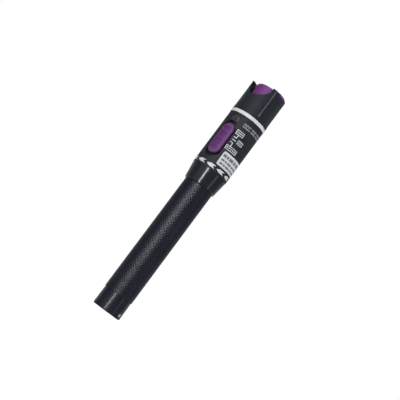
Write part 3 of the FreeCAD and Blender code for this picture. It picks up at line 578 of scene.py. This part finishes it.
# A polygon of (turn in degrees, height in mm) wrapped onto the film. It is cut into upright strips, and
# each cut runs from the lowest to the highest edge that crosses it. An edge from (t1, h1) to (t2, h2)
# crosses the turn t at h = h1 + (h2 - h1) (t - t1) / (t2 - t1).
def wrapPatch(outline, radius):
    outline = np.array(outline, float)
    following = np.roll(outline, -1, 0)
    start, end = outline[:, 0].min(), outline[:, 0].max()
    strips = max(2, int((end - start) / film["strip"]) + 1)
    cuts = np.unique(np.concatenate([outline[:, 0], np.linspace(start, end, strips)]))
    turn = np.clip(cuts, start + film["endInset"], end - film["endInset"])[:, None]
    near, far = outline[:, 0], following[:, 0]
    crosses = ((near - turn) * (far - turn) <= 0) & (near != far)
    share = (turn - near) / np.where(near != far, far - near, 1)
    height = outline[:, 1] + share * (following[:, 1] - outline[:, 1])
    low = np.where(crosses, height, np.inf).min(1)
    high = np.where(crosses, height, -np.inf).max(1)
    turns = np.radians(np.stack([cuts, cuts]))
    return aroundAxis(np.full(turns.shape, radius * mm), turns, np.stack([low, high]) * mm)


def printObject(name, patches, lift, inkName):
    points, quads, count = [], [], 0
    for outline in patches:
        patch = wrapPatch(outline, film["radius"] + lift)
        points.append(patch.reshape(-1, 3))
        quads.append(gridQuads(*patch.shape[:2]) + count)
        count += patch.shape[0] * patch.shape[1]
    thing = meshObject(name, np.concatenate(points), np.concatenate(quads), smooth=False)
    thing.data.materials.append(speckledFinish(inkName, {**ink, **inkShades[inkName]}))
    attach(thing, "head")


# Turns from the slide switch for turns that are counted from the middle of the marks.
def fromMiddle(*turns):
    return [film["middle"] + turn for turn in turns]


def bar(left, right, low, high):
    return [(left, low), (right, low), (right, high), (left, high)]


# Four bars round a box, with the line's height in mm and its width in degrees.
def boxFrame(left, right, low, high, line, lineTurn):
    return [bar(left, right, low, low + line), bar(left, right, high - line, high),
            bar(left, left + lineTurn, low + line, high - line),
            bar(right - lineTurn, right, low + line, high - line)]


# A panel with each corner cut off in two slopes, which meet at the ease.
def roundedPanel(left, right, low, high, corner, cornerTurn):
    ease, easeTurn = panel["cornerEase"] * corner, panel["cornerEase"] * cornerTurn
    return [(left, low + corner), (left + easeTurn, low + ease), (left + cornerTurn, low),
            (right - cornerTurn, low), (right - easeTurn, low + ease), (right, low + corner),
            (right, high - corner), (right - easeTurn, high - ease), (right - cornerTurn, high),
            (left + cornerTurn, high), (left + easeTurn, high - ease), (left, high - corner)]


# Left-pointing arrow with a notched tail, as a lower and an upper half.
def arrow(tip):
    middle = (arrows["low"] + arrows["high"]) / 2
    return [[(tip, middle), (tip + arrows["length"] - arrows["notch"], middle),
             (tip + arrows["length"], edge), (tip + arrows["shoulder"], edge)]
            for edge in (arrows["low"], arrows["high"])]


def whiteMarks():
    marks = []
    for left, right, low, high in labels["boxes"]:
        marks += boxFrame(*fromMiddle(left, right), low, high, *labels["boxLine"])
    for left, right, low, high in (*labels["leaders"], labels["rule"]):
        marks += [bar(*fromMiddle(left, right), low, high)]
    left, right, low, high = labels["square"]
    marks += boxFrame(*fromMiddle(left, right), low, high, *labels["squareLine"])
    left, right, low, high = labels["firstDash"]
    for step in range(labels["dashes"]):
        shift = labels["dashPitch"] * step
        marks += [bar(*fromMiddle(left + shift, right + shift), low, high)]
    left, right, low, high = panel["place"]
    marks += [roundedPanel(*fromMiddle(left, right), low, high, *panel["corner"])]
    for step in range(arrows["count"]):
        marks += arrow(*fromMiddle(arrows["firstTip"] + arrows["pitch"] * step))
    return marks


# Each block is a stem on the left with an upper and a lower stroke.
def titleBlocks():
    blocks, at = [], title["start"]
    for wide in title["letters"]:
        if wide:
            stem, stroke = fromMiddle(at, at + title["stem"]), fromMiddle(at, at + wide)
            blocks += [bar(*stem, title["low"], title["high"]),
                       bar(*stroke, title["high"] - title["stroke"], title["high"]),
                       bar(*stroke, title["low"], title["low"] + title["stroke"])]
        at += wide + title["gap"] if wide else title["wordGap"]
    return blocks


def dimPatches():
    half, top, opening = dimField["half"], dimField["halfTop"], dimField["halfOpening"]
    sill, head, high = dimField["sill"], dimField["head"], dimField["high"]
    return [bar(-half, half, dimField["low"], sill),
            bar(-half, -opening, sill, head), bar(opening, half, sill, head),
            [(-half, head), (half, head), (top, high), (-top, high)]]


def panelRows():
    rows = []
    for row, (low, tall) in enumerate(zip(panel["rowFeet"], panel["rowHeights"])):
        shift = panel["rowShift"] * row
        rows += [bar(*fromMiddle(left + shift, right + shift), low, low + tall)
                 for left, right in panel["words"]]
    return rows


dress(speckledFinish("printedBlack", film), "label_film")
printObject("printMarks", whiteMarks(), film["lift"], "markWhite")
printObject("printDim", dimPatches(), film["lift"], "markDim")
printObject("printTitle", titleBlocks(), film["lift"], "markPale")
printObject("printSmall", panelRows(), film["secondLift"], "markGrey")
print("print ready")


# Inner pieces with an even grain, and the nodes that have each finish.
innerPieces = {
    "mouldedBlack": {
        "dark": (28, 28, 31), "light": (38, 38, 42), "rough": (0.5, 0.65), "grain": 2200,
        "grainHeight": 0.01,
        "pieces": ("head_barrel", "slider_bed", "contact_holder", "chassis", "switch_body",
                   "slider_carriage", "switch_lever")},
    "whiteCeramic": {
        "dark": (228, 226, 218), "light": (238, 237, 231), "rough": (0.12, 0.2), "grain": 1200,
        "grainHeight": 0.002, "sockets": {"Subsurface Weight": 0.15, "Subsurface Scale": 0.6 * mm},
        "pieces": ("ceramic_sleeve",)},
    "sealRubber": {
        "dark": (20, 20, 21), "light": (32, 32, 33), "rough": (0.6, 0.75), "grain": 2600,
        "grainHeight": 0.01, "pieces": ("seal_ring",)},
    "chipBlack": {
        "dark": (24, 24, 26), "light": (34, 34, 36), "rough": (0.55, 0.7), "grain": 3600,
        "grainHeight": 0.012, "pieces": ("driver_chip",)},
}

# What the turned and drawn metals share, and the shades and pieces of each.
turned = {
    "grain": 9000,
    "stretch": (0.02, 0.02, 1),
    "grainHeight": 0.004,
    "drift": (300, 3),
    "sockets": {"Metallic": 1.0},
}

metalPieces = {
    "nickelPlate": {
        "dark": (188, 185, 176), "light": (206, 203, 196), "rough": (0.18, 0.32),
        "pieces": ("port_body", "port_nut")},
    "turnedBrass": {
        "dark": (186, 152, 82), "light": (204, 172, 104), "rough": (0.22, 0.38),
        "pieces": ("laser_housing",)},
    "springSteel": {
        "dark": (150, 151, 153), "light": (178, 179, 181), "rough": (0.22, 0.36), "grain": 4000,
        "pieces": ("tail_spring", "board_screws", "switch_cover")},
    "tinnedContact": {
        "dark": (190, 186, 170), "light": (210, 206, 192), "rough": (0.2, 0.34),
        "pieces": ("ground_ring", "front_contact", "laser_diode", "filter_capacitor")},
}


# Metal with the fine ring marks of a lathe: noise that is drawn out across Z.
def turnedFinish(name, look):
    made = Finish(name, look)
    drawn = made.node("ShaderNodeMapping")
    made.feed(drawn.inputs["Vector"], made.place)
    made.feed(drawn.inputs["Scale"], look["stretch"])
    made.colour(made.drift(look))
    made.grain(look, 1, drawn.outputs[0])
    return made.material


lens = {
    "dark": (226, 236, 250),
    "light": (240, 246, 254),
    "drift": (200, 2),
    "grain": 600,
    "grainHeight": 0.0005,
    "sockets": {"Roughness": 0.03, "IOR": 1.6, "Transmission Weight": 1.0},
}


# Clear ground lens with a faint coating tint.
def lensFinish():
    made = Finish("coatedLens", lens)
    made.colour(made.drift(lens))
    made.bump(made.noise(lens["grain"], 2), lens["grainHeight"])
    return made.material


board = {
    "mask": (20, 84, 46),
    "track": (44, 122, 68),
    "trackWidth": 0.6,
    "pitchAcross": 2.2,
    "pitchAlong": 3.2,
    "start": 1000,  # counts the tracks from outside the board, so that none is mirrored at its middle
    "patchScale": 260,
    "patchShare": 0.5,
    "trackHeight": 0.03,
    "sockets": {"Roughness": 0.35},
}


# Solder mask over copper tracks, in patches where they run along the board and patches where they cross it.
def boardFinish():
    made = Finish("boardGreen", board)

    def tracks(place, pitch, patch):
        off = made.math("PINGPONG", made.math("ADD", place, board["start"] * mm), pitch / 2 * mm)
        return made.math("MULTIPLY", made.math("LESS_THAN", off, board["trackWidth"] / 2 * mm), patch)

    patch = made.math("GREATER_THAN", made.noise(board["patchScale"], 1), board["patchShare"])
    pattern = made.math("MAXIMUM", tracks(made.along("X"), board["pitchAcross"], patch),
                        tracks(made.along("Z"), board["pitchAlong"], made.math("SUBTRACT", 1, patch)))
    made.colour(made.blend(pattern, srgb(*board["mask"]), srgb(*board["track"])))
    made.bump(pattern, board["trackHeight"])
    return made.material


coil = {
    "gap": (52, 32, 24),
    "wire": (150, 88, 52),
    "turnPitch": 0.7,
    "wireSpan": (0.05, 0.3),
    "wireHeight": 0.08,
    "sockets": {"Roughness": 0.4},
}


# Copper turns that follow each other along Y, the coil's axis.
def coilFinish():
    made = Finish("coilWinding", coil)
    wire = made.ramp(made.math("PINGPONG", made.along("Y"), coil["turnPitch"] / 2 * mm), coil["wireSpan"])
    made.colour(made.blend(wire, srgb(*coil["gap"]), srgb(*coil["wire"])))
    made.bump(wire, coil["wireHeight"])
    return made.material


cell = {
    "sleeve": (38, 44, 52),
    "band": (176, 178, 180),
    "bandFoot": 35,
    "metal": (190, 190, 188),
    "rimTop": 0.6,
    "nubFoot": 48.7,
    "metallic": 0.95,
    "rough": (0.24, 0.36),
    "grain": 700,
    "grainHeight": 0.006,
}


# Cell wrap: a dark sleeve with a pale upper band, and bright metal at the foot's rim and at the nub.
def cellFinish(name, foot):
    made = Finish(name, cell)
    height = made.math("SUBTRACT", made.along("Z"), foot)
    metal = made.math("MAXIMUM", made.math("GREATER_THAN", height, cell["nubFoot"] * mm),
                      made.math("LESS_THAN", height, cell["rimTop"] * mm))
    band = made.math("GREATER_THAN", height, cell["bandFoot"] * mm)
    wrap = made.blend(band, srgb(*cell["sleeve"]), srgb(*cell["band"]))
    made.colour(made.blend(metal, wrap, srgb(*cell["metal"])))
    made.feed(made.shader.inputs["Metallic"], made.math("MULTIPLY", metal, cell["metallic"]))
    made.grain(cell, 3)
    return made.material


for finishName, look in innerPieces.items():
    dress(speckledFinish(finishName, look), *look["pieces"])
for finishName, look in metalPieces.items():
    dress(turnedFinish(finishName, {**turned, **look}), *look["pieces"])
dress(lensFinish(), "focus_lens")
dress(boardFinish(), "circuit_board")
dress(coilFinish(), "boost_coil")
for cellName in ("rear_cell", "front_cell"):
    dress(cellFinish(cellName + "Wrap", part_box(cellName)[0].z), cellName)
print("inner pieces ready")


# Camera: distance, height and clip in metres, angles in degrees, and the lens and its sensor in mm.
cameraStand = {
    "azimuth": 34.0,
    "distance": 0.565,
    "height": 0.006,
    "yaw": -33.431,
    "pitch": 8.437,
    "roll": 36.622,
    "lens": 82.16,
    "sensor": 36,
    "clipStart": 0.01,
}

# The room lights at a plain level. Gloss sees half of it behind the pen (-1) and little of it from beside
# the pen (0) round to the camera.
room = {
    "light": 0.16,
    "glossFall": (-1.0, 0.0, 0.5, 0.05),
}

whiteFloor = {
    "half": 3.0,
    "shade": (172, 172, 174),
    "glow": (0.05, 0.3, 0.8, 0.98),  # 0.8 up to 0.05 m from the axis, and 0.98 from 0.3 m on
    "sockets": {"Roughness": 0.9},
}

# Lamps: degrees to the right of the camera, distance, height, width, length, power, and if gloss sees it.
# All of them face the pen at the aim's height.
aimHeight = 0.09
lamps = {
    "keyStrip": (-19, 0.62, 0.20, 0.075, 0.5, 2.6, True),
    "topSoftbox": (-30, 0.35, 0.75, 0.5, 0.5, 1.4, True),
    "sideStrip": (54, 0.62, 0.20, 0.085, 0.5, 0.2, True),
    "leftGlow": (-48, 0.6, 0.2, 0.42, 0.5, 0.2, True),
    "sideFill": (100, 0.6, 0.2, 0.4, 0.5, 2.3, False),
}


# Place at a distance from the pen's axis, in the direction of an azimuth.
def standAt(azimuth, distance, height):
    return Vector(aroundAxis(distance, math.radians(azimuth), height))


# The rays that see a surface directly or through glass, and those that see it in gloss.
def sight(wiring):
    path = wiring.node("ShaderNodeLightPath")
    direct = wiring.math("MAXIMUM", path.outputs["Is Camera Ray"], path.outputs["Is Transmission Ray"])
    return direct, path.outputs["Is Glossy Ray"]


# What gloss sees of the room in one direction, where the camera's stand keeps its side dark.
def glossyRoom(wiring, way):
    towards = wiring.node("ShaderNodeVectorMath", operation="DOT_PRODUCT")
    wiring.feed(towards.inputs[0], way)
    wiring.feed(towards.inputs[1], standAt(cameraStand["azimuth"], 1.0, 0.0))
    return wiring.remap(towards.outputs["Value"], *room["glossFall"], interpolation_type="SMOOTHSTEP")


# White floor that keeps the pen's shadow and glows more the further it is from the pen.
def addFloor():
    half = whiteFloor["half"]
    points = np.array([(-half, -half, 0), (half, -half, 0), (half, half, 0), (-half, half, 0)], float)
    floor = meshObject("floor", points, np.array([[0, 1, 2, 3]]), smooth=False)
    made = Finish("floorWhite", whiteFloor)
    outwards = made.node("ShaderNodeVectorMath", operation="NORMALIZE")
    away = made.node("ShaderNodeVectorMath", operation="LENGTH")
    made.feed(outwards.inputs[0], made.place)
    made.feed(away.inputs[0], made.place)
    direct, glossy = sight(made)
    glow = made.math("MULTIPLY", direct, made.remap(away.outputs["Value"], *whiteFloor["glow"]))
    gloss = made.math("MULTIPLY", glossy, glossyRoom(made, outwards.outputs[0]))
    made.colour(srgb(*whiteFloor["shade"]))
    made.feed(made.shader.inputs["Emission Color"], (1, 1, 1, 1))
    made.feed(made.shader.inputs["Emission Strength"], made.math("ADD", glow, gloss))
    floor.data.materials.append(made.material)


# White backdrop for what is seen directly, in metal or through glass. It lights at a plain level.
def lightWorld():
    world = bpy.data.worlds.new("studio")
    bpy.context.scene.world = world
    world.use_nodes = True
    made = Wiring(world.node_tree)
    direct, glossy = sight(made)
    way = made.node("ShaderNodeTexCoord").outputs["Generated"]
    seen = made.math("MAXIMUM", direct, made.math("MULTIPLY", glossy, glossyRoom(made, way)))
    indirect = made.math("SUBTRACT", 1.0, made.math("MAXIMUM", direct, glossy))
    background = made.nodes["Background"]
    made.feed(background.inputs["Color"], (1, 1, 1, 1))
    made.feed(background.inputs["Strength"],
              made.math("ADD", seen, made.math("MULTIPLY", indirect, room["light"])))


# Rectangular lamp that faces the pen.
def addSoftbox(name, azimuth, distance, height, width, length, power, inGloss):
    lamp = bpy.data.lights.new(name, "AREA")
    lamp.shape = "RECTANGLE"
    lamp.size = width
    lamp.size_y = length
    lamp.energy = power
    thing = bpy.data.objects.new(name, lamp)
    thing.location = standAt(azimuth, distance, height)
    aim = Vector((0, 0, aimHeight)) - thing.location
    thing.rotation_euler = aim.to_track_quat("-Z", "Y").to_euler()
    thing.visible_glossy = inGloss
    bpy.context.collection.objects.link(thing)


# The camera looks ahead by its yaw and pitch, and its right and up are rolled about that way.
def addCamera():
    yaw, pitch, roll = (math.radians(cameraStand[key]) for key in ("yaw", "pitch", "roll"))
    ahead = Vector((math.sin(yaw) * math.cos(pitch), math.cos(yaw) * math.cos(pitch), math.sin(pitch)))
    right = ahead.cross(Vector((0, 0, 1))).normalized()
    up = right.cross(ahead)
    rolledRight = right * math.cos(roll) + up * math.sin(roll)
    rolledUp = up * math.cos(roll) - right * math.sin(roll)
    turned = Matrix((rolledRight, rolledUp, -ahead)).transposed().to_4x4()
    place = standAt(cameraStand["azimuth"], cameraStand["distance"], cameraStand["height"])
    camera = bpy.data.objects.new("camera", bpy.data.cameras.new("camera"))
    camera.matrix_world = Matrix.Translation(place) @ turned
    camera.data.lens = cameraStand["lens"]
    camera.data.sensor_width = cameraStand["sensor"]
    camera.data.clip_start = cameraStand["clipStart"]
    bpy.context.collection.objects.link(camera)
    bpy.context.scene.camera = camera


addFloor()
lightWorld()
for lampName, (rightwards, *spec) in lamps.items():
    addSoftbox(lampName, cameraStand["azimuth"] + rightwards, *spec)
addCamera()
bpy.context.scene.view_settings.view_transform = "Standard"
print("stage ready")
